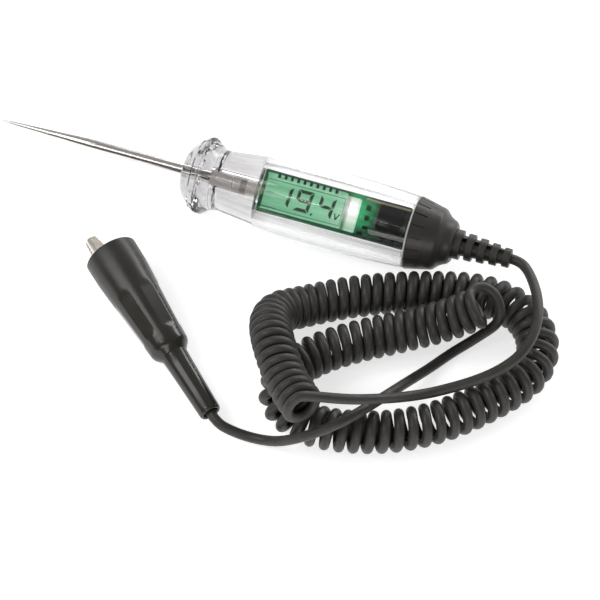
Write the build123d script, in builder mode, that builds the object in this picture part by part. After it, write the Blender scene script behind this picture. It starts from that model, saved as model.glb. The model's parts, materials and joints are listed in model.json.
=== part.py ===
from build123d import *
from math import acos, cos, degrees, pi, radians, sin, tan
import os

# Circuit test light: steel probe in a clear handle with a lit voltmeter board, a screw cap,
# a ribbed strain relief, a curly cord and a booted alligator clip.  Millimetres, +Z up.
# +X runs along the handle from the needle's point to the strain relief; the barrel rests on z = 0
# and one flat of the twelve-sided guard faces the surface.

os.makedirs("parts", exist_ok=True)

# ---------------------------------------------------------------- driving dimensions
TIP_X = -104.8              # point of the needle
RELIEF_END_X = 104.8        # cord end of the strain relief
AXIS_Z = 15.6               # the barrel's largest radius, so the axis lies this high
SIDES = 12                  # facets round the guard

NEEDLE_R = 2.35
NEEDLE_FULL_X = -64.0       # the taper ends here
NEEDLE_STEP_X = -28.6       # the root starts here, just in front of the handle
ROOT_R = 1.9
NEEDLE_END_X = -3.4
FERRULE_X = (-18.3, -7.2)
FERRULE_R = 2.85
POCKET_R = 3.4              # air round the ferrule
COLLAR_X = (-6.6, -3.4)
COLLAR_R = 3.35
SLEEVE_END_X = 4.0
SLEEVE_R = 2.55

GUARD_X = (-28.1, -13.4)    # dome front to the start of the neck
GUARD_FLAT = 15.15          # axis to flat of the guard
CAVITY_X = 3.9              # front wall of the bored cavity
CAVITY_R = 11.3
BARREL_END_X = 65.0         # the seal ring lies against this face
SPIGOT_R = 11.6
SPIGOT_BORE_R = 10.4
SPIGOT_END_X = 71.6
SEAL_W = 0.6
SEAL_R = 14.3

CAP_FRONT_X = BARREL_END_X + SEAL_W
CAP_SHOULDER_X = 76.9
CAP_END_X = 82.2
CAP_BORE_R = SPIGOT_R + 0.1
CAP_WEB_X = 74.0            # inner face of the cap's rear web
GRIP_COUNT = 18
GRIP_DEPTH = 0.4
GRIP_L = 6.4

RELIEF_R = 5.85             # plain root that passes through the cap
RELIEF_TIP_R = 3.5
FLANGE_X = (SPIGOT_END_X, 73.8)
RIB_COUNT = 5
RIB_PITCH = 4.9
RIB_W = 2.9
WINDOW_W = 2.0

CORD_R = 2.0                # jacket
WIRE_R = 0.9                # stranded conductor

ROLL = 30.0                 # the board faces this far from straight up, one facet round
BOARD_X = (4.2, 68.9)
BOARD_Y = (-7.9, 9.3)
BOARD_Z = (-3.0, -1.4)
GUIDE_X = (5.4, 42.9)
GUIDE_Y = (-6.4, 7.0)
GUIDE_H = 2.6
GLASS_X = (5.8, 37.6)
GLASS_T = 1.0
PIN_COUNT = 10
PIN_PITCH = 2.54
LED_AT = (40.4, 2.6)
CHIP = 10.0
CHIP_X = 55.6
CHIP_Y = 2.3
CHIP_H = 1.7
LEADS_PER_SIDE = 11
LEAD_PITCH = 0.8
LEAD_REACH = 1.6

COIL_R = 8.4                # outer radius of the curly cord
COIL_SPACE = 0.3

# the boot lies on its side; s runs from its open rim to its tail
BOOT_RIM = (-42.85, -43.8, 11.2)
BOOT_HEADING = -41.45
BOOT_PITCH = 4.0
BOOT_ROLL = 9.6
BOOT_L = 79.0
RIM_OUT_R = 10.6
SHOULDER = (46.5, 7.95)     # s and radius where the taper ends
TAIL_R = (5.1, 4.3)
TAIL_BORE_R = 2.9
PANELS = 6
PANEL_TURN = 10.0
PANEL_S = (20.5, 42.0)
PANEL_W = 5.6
PANEL_DEPTH = 0.5

# the clip lies askew in the boot: its tip is off the boot's axis by these
CLIP_OFF = (-3.2, -1.6)
SHEET = 0.7                 # clip metal
JAW_TIP_S = -10.2
NOSE_W = 5.0
NOSE_H = 5.4
FLARE_S = 1.0               # the nose has grown to its full section here
JAW_W = 7.6
JAW_H = 7.6
PIVOT_S = 12.0
PIN_R = 1.1
TEETH = 9
TOOTH = 1.5
TOOTH_H = 0.6
CRIMP_S = (40.0, 46.0)      # along the boot, where the cord's conductor is crimped

AXIS = Axis((0, 0, AXIS_Z), (1, 0, 0))
SIDE = Plane(origin=(0, 0, AXIS_Z), x_dir=(1, 0, 0), z_dir=(0, -1, 0))
roll = radians(ROLL)
BOARD = Plane(origin=(0, 0, AXIS_Z), x_dir=(1, 0, 0), z_dir=(0, -sin(roll), cos(roll)))
BOARD_TOP = BOARD_Z[1]


def section(x):
    """Plane across the handle at x, facing the cord end."""
    return Plane(origin=(x, 0, AXIS_Z), x_dir=(0, 1, 0), z_dir=(1, 0, 0))


def board_at(height):
    """Plane parallel to the board at a height above the handle's axis."""
    return BOARD.offset(height)


heading = radians(BOOT_HEADING)
pitch = radians(BOOT_PITCH)
boot_dir = Vector(cos(heading) * cos(pitch), sin(heading) * cos(pitch), -sin(pitch))
upright = Plane(origin=BOOT_RIM, x_dir=boot_dir, z_dir=boot_dir.cross(Vector(0, 0, 1)).cross(boot_dir))


def around_boot(angle):
    """The boot's plane turned about its length, towards the handle."""
    turned = upright.z_dir * cos(radians(angle)) + upright.y_dir * sin(radians(angle))
    return Plane(origin=BOOT_RIM, x_dir=boot_dir, z_dir=turned)


BOOT = around_boot(BOOT_ROLL)
jaw_tip = BOOT.from_local_coords(Vector(JAW_TIP_S, *CLIP_OFF))
crimp_at = BOOT.from_local_coords(Vector(CRIMP_S[0], 0, 0))
clip_dir = (crimp_at - jaw_tip).normalized()
clip_width = BOOT.z_dir.cross(clip_dir).normalized()
CLIP = Plane(origin=crimp_at - clip_dir * CRIMP_S[0], x_dir=clip_dir, z_dir=clip_dir.cross(clip_width))
CLIP_SIDE = Plane(origin=CLIP.origin, x_dir=CLIP.x_dir, z_dir=CLIP.y_dir * -1)
BOOT_SIDE = Plane(origin=BOOT.origin, x_dir=BOOT.x_dir, z_dir=BOOT.y_dir * -1)


def across(frame, s):
    """Plane across the boot or the clip at s, facing the tail; local x is the clip's width."""
    return Plane(origin=frame.from_local_coords((s, 0, 0)), x_dir=frame.y_dir, z_dir=frame.x_dir)


def boot_point(s):
    """Centre of the boot at s."""
    return tuple(BOOT.from_local_coords(Vector(s, 0, 0)))


def save(part, label):
    part.label = label
    export_step(part, f"parts/{label}.step")


def bend_radii(points):
    """Radius of the tangent arc at each knot, as large as its two runs allow."""
    knots = [Vector(*p) for p in points]
    radii = []
    for before, here, after in zip(knots, knots[1:], knots[2:]):
        turn = radians((here - before).get_angle(after - here))
        shorter = min((here - before).length, (after - here).length)
        radii.append(0.45 * shorter / tan(turn / 2))
    return radii


# ---------------------------------------------------------------- probe
with BuildPart() as probe_needle:
    with BuildSketch(SIDE):
        with BuildLine():
            Polyline((NEEDLE_END_X, 0), (TIP_X, 0), (TIP_X + 0.35, 0.22), (TIP_X + 2.8, 0.62))
            Spline(
                (TIP_X + 2.8, 0.62),
                (TIP_X + 16.5, 1.32),
                (TIP_X + 27.0, 1.78),
                (NEEDLE_FULL_X, NEEDLE_R),
                tangents=[(1, 0.055), (1, 0)],
            )
            Polyline(
                (NEEDLE_FULL_X, NEEDLE_R),
                (NEEDLE_STEP_X, NEEDLE_R),
                (NEEDLE_STEP_X, ROOT_R),
                (NEEDLE_END_X, ROOT_R),
                (NEEDLE_END_X, 0),
            )
        make_face()
    revolve(axis=AXIS)
save(probe_needle.part, "probe_needle")

with BuildPart() as probe_ferrule:
    with BuildSketch(section(FERRULE_X[0])):
        Circle(FERRULE_R)
        Circle(ROOT_R, mode=Mode.SUBTRACT)
        with PolarLocations(FERRULE_R, 20):
            Circle(0.2, mode=Mode.SUBTRACT)
    extrude(amount=FERRULE_X[1] - FERRULE_X[0])
save(probe_ferrule.part, "probe_ferrule")

with BuildPart() as contact_collar:
    with BuildSketch(section(COLLAR_X[0])):
        Circle(COLLAR_R)
        Circle(ROOT_R, mode=Mode.SUBTRACT)
        with PolarLocations(COLLAR_R, 18):
            Circle(0.25, mode=Mode.SUBTRACT)
    extrude(amount=COLLAR_X[1] - COLLAR_X[0])
save(contact_collar.part, "contact_collar")

with BuildPart() as contact_sleeve:
    with BuildSketch(section(NEEDLE_END_X)):
        Circle(SLEEVE_R)
    extrude(amount=SLEEVE_END_X - NEEDLE_END_X)
    fillet(contact_sleeve.edges().sort_by(Axis.X)[-1], 0.4)
save(contact_sleeve.part, "contact_sleeve")

# ---------------------------------------------------------------- clear handle
with BuildPart() as handle_body:
    with BuildSketch(SIDE):
        with BuildLine():
            Spline(
                (GUARD_X[0], 5.0),
                (GUARD_X[0] + 1.1, 8.9),
                (GUARD_X[0] + 3.2, 11.5),
                (GUARD_X[0] + 5.4, 13.7),
                tangents=[(0.2, 1), (1, 0.85)],
            )
            Polyline(
                (GUARD_X[0] + 5.4, 13.7),
                (GUARD_X[0] + 5.7, 13.45),
                (GUARD_X[0] + 6.1, 14.1),
                (GUARD_X[0] + 8.1, 15.4),
                (GUARD_X[0] + 8.4, 15.4),
                (GUARD_X[0] + 8.6, 15.05),
                (GUARD_X[0] + 8.9, 15.75),
                (GUARD_X[0] + 10.1, 15.75),
                (GUARD_X[0] + 10.7, 15.0),
                (GUARD_X[0] + 12.9, 13.2),
            )
            Spline((GUARD_X[0] + 12.9, 13.2), (GUARD_X[1], 12.2), (-5.8, 12.7), tangents=[(1, -0.8), (1, 0.11)])
            Spline(
                (-5.8, 12.7),
                (3.5, 13.85),
                (12.9, 14.9),
                (28.0, AXIS_Z),
                tangents=[(1, 0.11), (1, 0)],
            )
            Spline(
                (28.0, AXIS_Z),
                (48.4, 15.2),
                (57.8, 14.75),
                (BARREL_END_X, 14.3),
                tangents=[(1, 0), (1, -0.08)],
            )
            Polyline(
                (BARREL_END_X, 14.3),
                (BARREL_END_X, SPIGOT_R),
                (SPIGOT_END_X, SPIGOT_R),
                (SPIGOT_END_X, SPIGOT_BORE_R),
                (BARREL_END_X - 0.9, SPIGOT_BORE_R),
                (BARREL_END_X - 0.9, CAVITY_R),
                (CAVITY_X, CAVITY_R),
                (CAVITY_X, 0),
                (GUARD_X[0], 0),
                (GUARD_X[0], 5.0),
            )
        make_face()
    revolve(axis=AXIS)
    with BuildSketch(section(GUARD_X[0] - 1)):
        Circle(GUARD_FLAT * 1.3)
        RegularPolygon(GUARD_FLAT / cos(pi / SIDES), SIDES, rotation=180 / SIDES, mode=Mode.SUBTRACT)
    extrude(amount=GUARD_X[1] - GUARD_X[0], mode=Mode.SUBTRACT)
    with BuildSketch(section(GUARD_X[0] - 1)):
        Circle(ROOT_R)
    extrude(amount=FERRULE_X[0] - GUARD_X[0] + 1, mode=Mode.SUBTRACT)
    with BuildSketch(section(FERRULE_X[0])):
        Circle(POCKET_R)
    extrude(amount=CAVITY_X - FERRULE_X[0] + 1, mode=Mode.SUBTRACT)
save(handle_body.part, "handle_body")

with BuildPart() as nose_bush:
    with BuildSketch(section(NEEDLE_END_X)):
        Circle(POCKET_R)
        Circle(SLEEVE_R, mode=Mode.SUBTRACT)
    extrude(amount=2.4)
save(nose_bush.part, "nose_bush")

# ---------------------------------------------------------------- circuit board
with BuildPart() as circuit_board:
    with BuildSketch(board_at(BOARD_Z[0])):
        with Locations(((BOARD_X[0] + BOARD_X[1]) / 2, (BOARD_Y[0] + BOARD_Y[1]) / 2)):
            RectangleRounded(BOARD_X[1] - BOARD_X[0], BOARD_Y[1] - BOARD_Y[0], 0.6)
        with Locations((63.7, -6.1)):
            Circle(0.8, mode=Mode.SUBTRACT)
    extrude(amount=BOARD_Z[1] - BOARD_Z[0])
save(circuit_board.part, "circuit_board")

with BuildPart() as light_guide:
    with BuildSketch(board_at(BOARD_TOP)):
        with Locations(((GUIDE_X[0] + GUIDE_X[1]) / 2, (GUIDE_Y[0] + GUIDE_Y[1]) / 2)):
            RectangleRounded(GUIDE_X[1] - GUIDE_X[0], GUIDE_Y[1] - GUIDE_Y[0], 0.5)
        with Locations(LED_AT):
            Rectangle(2.2, 4.6, mode=Mode.SUBTRACT)
    extrude(amount=GUIDE_H)
save(light_guide.part, "light_guide")

with BuildPart() as backlight_led:
    with BuildSketch(board_at(BOARD_TOP)):
        with Locations(LED_AT):
            Rectangle(1.8, 4.2)
    extrude(amount=1.4)
    chamfer(backlight_led.faces().sort_by(Axis(BOARD.origin, BOARD.z_dir))[-1].edges(), 0.3)
save(backlight_led.part, "backlight_led")

GLASS_Z = BOARD_TOP + GUIDE_H
with BuildPart() as lcd_rear_glass:
    with BuildSketch(board_at(GLASS_Z)):
        with Locations(((GLASS_X[0] + GLASS_X[1]) / 2, 0.7)):
            Rectangle(GLASS_X[1] - GLASS_X[0], 14.0)
    extrude(amount=GLASS_T)
    chamfer(lcd_rear_glass.edges().filter_by(Axis(BOARD.origin, BOARD.z_dir)), 0.3)
save(lcd_rear_glass.part, "lcd_rear_glass")

with BuildPart() as lcd_front_glass:
    with BuildSketch(board_at(GLASS_Z + GLASS_T)):
        with Locations(((GLASS_X[0] + GLASS_X[1]) / 2, -0.2)):
            Rectangle(GLASS_X[1] - GLASS_X[0], 11.6)
    extrude(amount=GLASS_T)
    chamfer(lcd_front_glass.faces().sort_by(Axis(BOARD.origin, BOARD.z_dir))[-1].edges(), 0.15)
save(lcd_front_glass.part, "lcd_front_glass")

PIN_X0 = 21.7 - PIN_PITCH * (PIN_COUNT - 1) / 2
with BuildPart() as lcd_pins:
    for number in range(PIN_COUNT):
        pin_x = PIN_X0 + number * PIN_PITCH
        with BuildSketch(board_at(BOARD_TOP)):
            with Locations((pin_x, 8.05)):
                Rectangle(0.5, 0.4)
        extrude(amount=GUIDE_H + GLASS_T + 0.35)
        with BuildSketch(board_at(GLASS_Z + GLASS_T)):
            with Locations((pin_x, 7.15)):
                Rectangle(1.1, 1.5)
        extrude(amount=0.35)
save(lcd_pins.part, "lcd_pins")

with BuildPart() as microcontroller:
    with BuildSketch(board_at(BOARD_TOP + 0.15)):
        with Locations((CHIP_X, CHIP_Y)):
            Rectangle(CHIP, CHIP)
    extrude(amount=CHIP_H)
    chamfer(microcontroller.edges().filter_by(Axis(BOARD.origin, BOARD.z_dir)), 0.5)
    with BuildSketch(board_at(BOARD_TOP + 0.15 + CHIP_H)):
        with Locations((CHIP_X - 3.7, CHIP_Y + 3.7)):
            Circle(0.5)
    extrude(amount=-0.1, mode=Mode.SUBTRACT)
save(microcontroller.part, "microcontroller")

with BuildPart() as chip_leads:
    for quarter in range(4):
        side_plane = Plane(board_at(BOARD_TOP) * Location((CHIP_X, CHIP_Y, 0), (0, 0, quarter * 90)))
        with BuildSketch(side_plane):
            with Locations((CHIP / 2 + LEAD_REACH - 0.5, 0)):
                with GridLocations(0, LEAD_PITCH, 1, LEADS_PER_SIDE):
                    Rectangle(1.0, 0.3)
        extrude(amount=0.16)
        with BuildSketch(side_plane.offset(0.16)):
            with Locations((CHIP / 2 + LEAD_REACH - 0.9, 0)):
                with GridLocations(0, LEAD_PITCH, 1, LEADS_PER_SIDE):
                    Rectangle(0.2, 0.3)
        extrude(amount=0.56)
        with BuildSketch(side_plane.offset(0.72)):
            with Locations((CHIP / 2 + (LEAD_REACH - 0.8) / 2, 0)):
                with GridLocations(0, LEAD_PITCH, 1, LEADS_PER_SIDE):
                    Rectangle(LEAD_REACH - 0.8, 0.3)
        extrude(amount=0.16)
save(chip_leads.part, "chip_leads")

with BuildPart() as chip_resistors:
    with BuildSketch(board_at(BOARD_TOP)):
        with Locations((54.3, -5.9), (58.0, -5.9), (46.7, -3.3), (45.2, -6.0)):
            Rectangle(2.0, 1.25)
    extrude(amount=0.55)
save(chip_resistors.part, "chip_resistors")

with BuildPart() as chip_capacitors:
    with BuildSketch(board_at(BOARD_TOP)):
        with Locations((46.2, 4.6), (46.4, 0.6), (64.0, -1.6)):
            Rectangle(1.6, 2.0)
    extrude(amount=0.95)
    chamfer(chip_capacitors.edges().filter_by(Axis(BOARD.origin, BOARD.z_dir)), 0.15)
save(chip_capacitors.part, "chip_capacitors")

with BuildPart() as crystal:
    with BuildSketch(board_at(BOARD_Z[0])):
        with Locations((57.0, 1.0)):
            SlotOverall(7.0, 2.6, rotation=90)
    extrude(amount=-2.2)
    fillet(crystal.faces().sort_by(Axis(BOARD.origin, BOARD.z_dir))[0].edges(), 0.35)
save(crystal.part, "crystal")

SOLDER_SPOTS = [(62.3, -3.9), (64.2, 6.2)]
with BuildPart() as solder_joints:
    for spot in SOLDER_SPOTS:
        with BuildSketch(board_at(BOARD_TOP)):
            with Locations(spot):
                Circle(1.0)
        extrude(amount=0.8, taper=32)
save(solder_joints.part, "solder_joints")

# a link wire laid across the chip's upper leads, with both ends in the board
LINK_X = (44.8, 63.1)
LINK_Y = 7.75
LINK_Z = BOARD_TOP + 1.45
link_points = [
    BOARD.from_local_coords(Vector(LINK_X[0], LINK_Y, BOARD_TOP)),
    BOARD.from_local_coords(Vector(LINK_X[0], LINK_Y, LINK_Z)),
    BOARD.from_local_coords(Vector(LINK_X[1], LINK_Y, LINK_Z)),
    BOARD.from_local_coords(Vector(LINK_X[1], LINK_Y, BOARD_TOP)),
]
with BuildPart() as jumper_wire:
    with BuildLine():
        FilletPolyline(*link_points, radius=0.8)
    with BuildSketch(Plane(origin=link_points[0], z_dir=BOARD.z_dir)):
        Circle(0.45)
    sweep()
save(jumper_wire.part, "jumper_wire")

with BuildPart() as probe_tab:
    with BuildSketch(Plane(origin=(SLEEVE_END_X, 0, AXIS_Z), x_dir=BOARD.y_dir, z_dir=(1, 0, 0))):
        with Locations((0, -0.7)):
            Rectangle(2.6, 1.4)
    extrude(amount=BOARD_X[0] - SLEEVE_END_X)
    with BuildSketch(board_at(BOARD_TOP)):
        with Locations((BOARD_X[0] + 0.5, 0)):
            Rectangle(1.0, 2.6)
    extrude(amount=0.9)
save(probe_tab.part, "probe_tab")

HOLDER_X = (65.6, 68.6)
with BuildPart() as board_holder:
    with BuildSketch(section(HOLDER_X[0])):
        Circle(SPIGOT_BORE_R)
        Circle(SPIGOT_BORE_R - 2.2, mode=Mode.SUBTRACT)
    extrude(amount=HOLDER_X[1] - HOLDER_X[0])
    with BuildSketch(Plane(origin=(HOLDER_X[0], 0, AXIS_Z), x_dir=BOARD.y_dir, z_dir=(1, 0, 0))):
        with Locations(((BOARD_Y[0] + BOARD_Y[1]) / 2, (BOARD_Z[0] + BOARD_Z[1]) / 2)):
            Rectangle(BOARD_Y[1] - BOARD_Y[0], BOARD_Z[1] - BOARD_Z[0])
    extrude(amount=HOLDER_X[1] - HOLDER_X[0], mode=Mode.SUBTRACT)
save(board_holder.part, "board_holder")

# ---------------------------------------------------------------- cap, seal and strain relief
with BuildPart() as seal_ring:
    with BuildSketch(section(BARREL_END_X)):
        Circle(SEAL_R)
        Circle(SPIGOT_R + 0.05, mode=Mode.SUBTRACT)
    extrude(amount=SEAL_W)
save(seal_ring.part, "seal_ring")

with BuildPart() as end_cap:
    with BuildSketch(SIDE):
        with BuildLine():
            Polyline(
                (CAP_FRONT_X, CAP_BORE_R),
                (CAP_FRONT_X, 14.1),
                (CAP_FRONT_X + 0.4, 14.45),
                (CAP_SHOULDER_X - 1.2, 12.3),
            )
            Spline(
                (CAP_SHOULDER_X - 1.2, 12.3),
                (CAP_SHOULDER_X + 0.1, 11.5),
                (CAP_SHOULDER_X + 1.7, 9.9),
                (CAP_END_X - 0.9, 8.5),
                tangents=[(1, -0.22), (1, -0.4)],
            )
            Polyline(
                (CAP_END_X - 0.9, 8.5),
                (CAP_END_X, 7.5),
                (CAP_END_X, RELIEF_R + 0.15),
                (CAP_WEB_X, RELIEF_R + 0.15),
                (CAP_WEB_X, CAP_BORE_R),
                (CAP_FRONT_X, CAP_BORE_R),
            )
        make_face()
    revolve(axis=AXIS)
    for number in range(GRIP_COUNT):
        turn = radians(2 + number * 360 / GRIP_COUNT)
        face = Plane(origin=(0, 0, AXIS_Z), x_dir=(1, 0, 0), z_dir=(0, -cos(turn), -sin(turn)))
        with BuildSketch(face):
            Polygon(
                (CAP_FRONT_X - 0.5, 15.5),
                (CAP_FRONT_X - 0.5, 14.5 - GRIP_DEPTH),
                (CAP_FRONT_X + 0.4, 14.45 - GRIP_DEPTH),
                (CAP_FRONT_X + GRIP_L - 1, 14.67 - 0.2215 * GRIP_L - GRIP_DEPTH),
                (CAP_FRONT_X + GRIP_L, 15.5),
                align=None,
            )
        extrude(amount=0.3, both=True, mode=Mode.SUBTRACT)
save(end_cap.part, "end_cap")

rib_fall = (RELIEF_R - RELIEF_TIP_R) / (RELIEF_END_X - CAP_END_X)
with BuildPart() as strain_relief:
    with BuildSketch(section(FLANGE_X[0])):
        Circle(SPIGOT_R - 0.3)
    extrude(amount=FLANGE_X[1] - FLANGE_X[0])
    with BuildSketch(section(FLANGE_X[1])):
        Circle(RELIEF_R)
    extrude(amount=CAP_END_X + 3.0 - FLANGE_X[1])
    with BuildSketch(SIDE):
        with BuildLine():
            Polyline(
                (CAP_END_X, 0),
                (CAP_END_X, 4.3),
                (RELIEF_END_X - 0.6, 2.85),
                (RELIEF_END_X, 2.6),
                (RELIEF_END_X, 0),
                (CAP_END_X, 0),
            )
        make_face()
    revolve(axis=AXIS)
    for number in range(1, RIB_COUNT):
        rib_x = RELIEF_END_X - RIB_W - (RIB_COUNT - 1 - number) * RIB_PITCH
        rib_r = RELIEF_R - (rib_x - CAP_END_X) * rib_fall
        with BuildSketch(section(rib_x)):
            Circle(rib_r)
        extrude(amount=RIB_W)
        fillet(strain_relief.edges().filter_by(GeomType.CIRCLE).filter_by(
            lambda e: abs(e.radius - rib_r) < 1e-4), 0.35)
        with BuildSketch(section(rib_x - RIB_PITCH + RIB_W)):
            with Locations((0, rib_r), (0, -rib_r)):
                Rectangle(WINDOW_W, 2 * (rib_r - CORD_R - 0.15))
        extrude(amount=RIB_PITCH - RIB_W, mode=Mode.SUBTRACT)
    with BuildSketch(section(FLANGE_X[0])):
        Circle(CORD_R)
    extrude(amount=RELIEF_END_X - FLANGE_X[0], mode=Mode.SUBTRACT)
save(strain_relief.part, "strain_relief")

with BuildPart() as crimp_ring:
    with BuildSketch(section(FLANGE_X[0] - 2.4)):
        Circle(3.3)
        Circle(CORD_R, mode=Mode.SUBTRACT)
    extrude(amount=2.4)
    chamfer(crimp_ring.faces().sort_by(Axis.X)[0].edges().sort_by(Edge.length)[-1], 0.4)
save(crimp_ring.part, "crimp_ring")

STUB_X = 69.0
with BuildPart() as cord_stub:
    with BuildSketch(section(STUB_X)):
        Circle(CORD_R)
    extrude(amount=RELIEF_END_X - STUB_X)
save(cord_stub.part, "cord_stub")

# the ground wire drops from the cord's end to the board
wire_end = BOARD.from_local_coords((*SOLDER_SPOTS[1], BOARD_TOP + 0.8))
with BuildPart() as ground_wire:
    with BuildLine() as ground_line:
        Line((STUB_X, 0, AXIS_Z), (STUB_X - 0.6, 0, AXIS_Z))
        Spline(
            (STUB_X - 0.6, 0, AXIS_Z),
            (wire_end.X, wire_end.Y, wire_end.Z),
            tangents=[(-1, 0, 0), tuple(BOARD.z_dir * -1)],
        )
    with BuildSketch(Plane(origin=(STUB_X, 0, AXIS_Z), z_dir=(-1, 0, 0))):
        Circle(0.6)
    sweep()
save(ground_wire.part, "ground_wire")

# ---------------------------------------------------------------- cord
# Lead from the strain relief: out of the relief, over the bend of the coil, along its inner
# shoulder, over the other lead and into the raised end of the coil.
LEAD_1 = [
    (104.8, 0.0, 15.6),
    (108.2, 0.0, 15.6),
    (112.3, -3.0, 16.2),
    (116.2, -9.2, 18.4),
    (119.9, -16.9, 21.6),
    (122.8, -25.5, 23.2),
    (123.7, -35.0, 23.0),
    (121.6, -44.6, 22.2),
    (116.0, -52.4, 20.8),
    (108.6, -58.4, 18.8),
    (100.4, -63.3, 16.8),
    (92.4, -68.3, 16.2),
    (84.8, -74.2, 19.0),
    (77.6, -81.2, 25.0),
    (70.4, -86.8, 29.5),
    (63.3, -90.9, 33.0),
    (57.4, -94.1, 35.7),
    (52.8, -96.0, 37.4),
]

# Centre line of the curly cord: raised end on top of the second pass, round the loop,
# under itself, and up onto the first run again.
COIL = [
    (53.3, -97.1, 31.5),
    (48.2, -92.1, 29.8),
    (43.3, -86.8, 28.6),
    (38.0, -79.7, 28.0),
    (33.3, -72.2, 26.5),
    (29.0, -63.6, 22.0),
    (26.4, -55.4, 16.5),
    (27.7, -48.7, 12.5),
    (31.9, -44.4, 10.0),
    (37.7, -39.4, 8.4),
    (50.2, -31.6, 8.4),
    (65.5, -24.5, 8.4),
    (81.5, -18.8, 8.4),
    (96.0, -14.8, 8.4),
    (108.4, -15.3, 8.4),
    (118.8, -20.2, 8.4),
    (124.9, -29.2, 8.4),
    (126.2, -37.8, 8.4),
    (123.9, -46.1, 8.4),
    (117.2, -55.5, 8.4),
    (106.6, -67.4, 8.4),
    (96.1, -76.5, 8.4),
    (82.2, -84.6, 8.4),
    (66.9, -89.4, 8.4),
    (54.4, -90.8, 8.4),
    (45.1, -88.7, 8.4),
    (38.4, -82.8, 8.4),
    (37.6, -74.7, 8.4),
    (41.0, -66.8, 8.4),
    (47.8, -58.7, 8.4),
    (58.8, -50.0, 8.4),
    (71.3, -42.6, 9.2),
    (83.0, -36.9, 12.2),
    (91.4, -33.2, 15.8),
    (96.2, -30.7, 18.2),
    (100.2, -28.3, 21.0),
]

# Lead to the clip: sweeps out of the coil's far end, down onto the surface, over the coil's
# near run and into the tail of the boot.
LEAD_2 = [
    (95.6, -23.8, 24.8),
    (101.0, -21.6, 23.5),
    (105.2, -22.0, 21.5),
    (108.3, -24.1, 19.5),
    (109.3, -27.1, 17.0),
    (107.5, -29.8, 13.5),
    (103.6, -31.9, 9.0),
    (98.8, -34.8, 4.3),
    (93.3, -40.2, 2.0),
    (88.0, -49.2, 2.8),
    (82.6, -60.7, 8.0),
    (77.9, -72.6, 14.5),
    (73.6, -82.8, 19.7),
    (69.4, -90.5, 22.3),
    (64.3, -96.3, 22.5),
    (58.6, -99.8, 20.0),
    (52.1, -101.0, 14.5),
    (44.8, -100.6, 7.5),
    (37.8, -99.6, 3.2),
    (30.6, -99.5, 2.5),
    (24.6, -99.7, 4.1),
    boot_point(BOOT_L + 4.6),
    boot_point(BOOT_L),
]


def cord(points, radius):
    """A round solid along straight runs and tangent arcs, and the radii of its bends."""
    radii = bend_radii(points)
    with BuildPart() as solid:
        with BuildLine() as centre:
            FilletPolyline(*points, radius=radii)
        with BuildSketch(Plane(origin=points[0], z_dir=Vector(*points[1]) - Vector(*points[0]))):
            Circle(radius)
        sweep()
    length = sum(edge.length for edge in centre.line.edges())
    print(f"  length {length:.1f}, volume ratio {solid.part.volume / (pi * radius**2 * length):.4f}")
    return solid.part, radii


for route, radius, label in ((LEAD_1, CORD_R, "cord_lead_1"), (COIL, COIL_R, "curly_cord"),
                             (LEAD_2, CORD_R, "cord_lead_2")):
    solid, radii = cord(route, radius)
    print(label, "bend radii", [round(value, 1) for value in radii])
    save(solid, label)

# ---------------------------------------------------------------- clip
with BuildPart() as cord_tail:
    with BuildSketch(across(BOOT, CRIMP_S[0])):
        Circle(CORD_R)
    extrude(amount=BOOT_L - CRIMP_S[0])
save(cord_tail.part, "cord_tail")

with BuildPart() as conductor:
    with BuildSketch(across(BOOT, CRIMP_S[0] - 8)):
        Circle(WIRE_R)
    extrude(amount=8)
save(conductor.part, "conductor")

with BuildPart() as clip_boot:
    with BuildSketch(BOOT_SIDE):
        with BuildLine():
            Polyline((0, RIM_OUT_R - 1.1), (0, RIM_OUT_R - 0.3), (0.4, RIM_OUT_R), (9.7, 10.5), SHOULDER)
            Spline(
                SHOULDER,
                (SHOULDER[0] + 1.6, 7.25),
                (SHOULDER[0] + 2.9, 6.0),
                (SHOULDER[0] + 4.6, TAIL_R[0]),
                tangents=[(1, -0.12), (1, -0.15)],
            )
            Polyline(
                (SHOULDER[0] + 4.6, TAIL_R[0]),
                (BOOT_L - 0.7, TAIL_R[1]),
                (BOOT_L, TAIL_R[1] - 0.6),
                (BOOT_L, TAIL_BORE_R),
                (60.0, TAIL_BORE_R),
                (57.0, CORD_R),
                (52.0, CORD_R),
                (49.0, 3.4),
                (46.4, 6.1),
                (32.0, 7.6),
                (12.0, 8.8),
                (0, RIM_OUT_R - 1.1),
            )
        make_face()
    revolve(axis=Axis(BOOT.origin, BOOT.x_dir))
    taper = degrees((10.5 - SHOULDER[1]) / (SHOULDER[0] - 9.7))
    middle_s = sum(PANEL_S) / 2
    middle_r = 10.5 + (middle_s - 9.7) * (SHOULDER[1] - 10.5) / (SHOULDER[0] - 9.7)
    for number in range(PANELS):
        face = around_boot(BOOT_ROLL + PANEL_TURN + number * 360 / PANELS)
        panel = Plane(face * Location((middle_s, 0, middle_r - PANEL_DEPTH), (0, taper, 0)))
        with BuildSketch(panel):
            RectangleRounded(PANEL_S[1] - PANEL_S[0], PANEL_W, 1.2)
        extrude(amount=2.5, mode=Mode.SUBTRACT)
save(clip_boot.part, "clip_boot")

teeth_end = JAW_TIP_S + TEETH * TOOTH


def tooth_line(gap, crest):
    """Saw edge from the tip back to the last tooth."""
    points = []
    for number in range(TEETH):
        points += [(JAW_TIP_S + number * TOOTH, gap), (JAW_TIP_S + (number + 0.5) * TOOTH, gap + crest)]
    return points + [(teeth_end, gap)]


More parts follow.
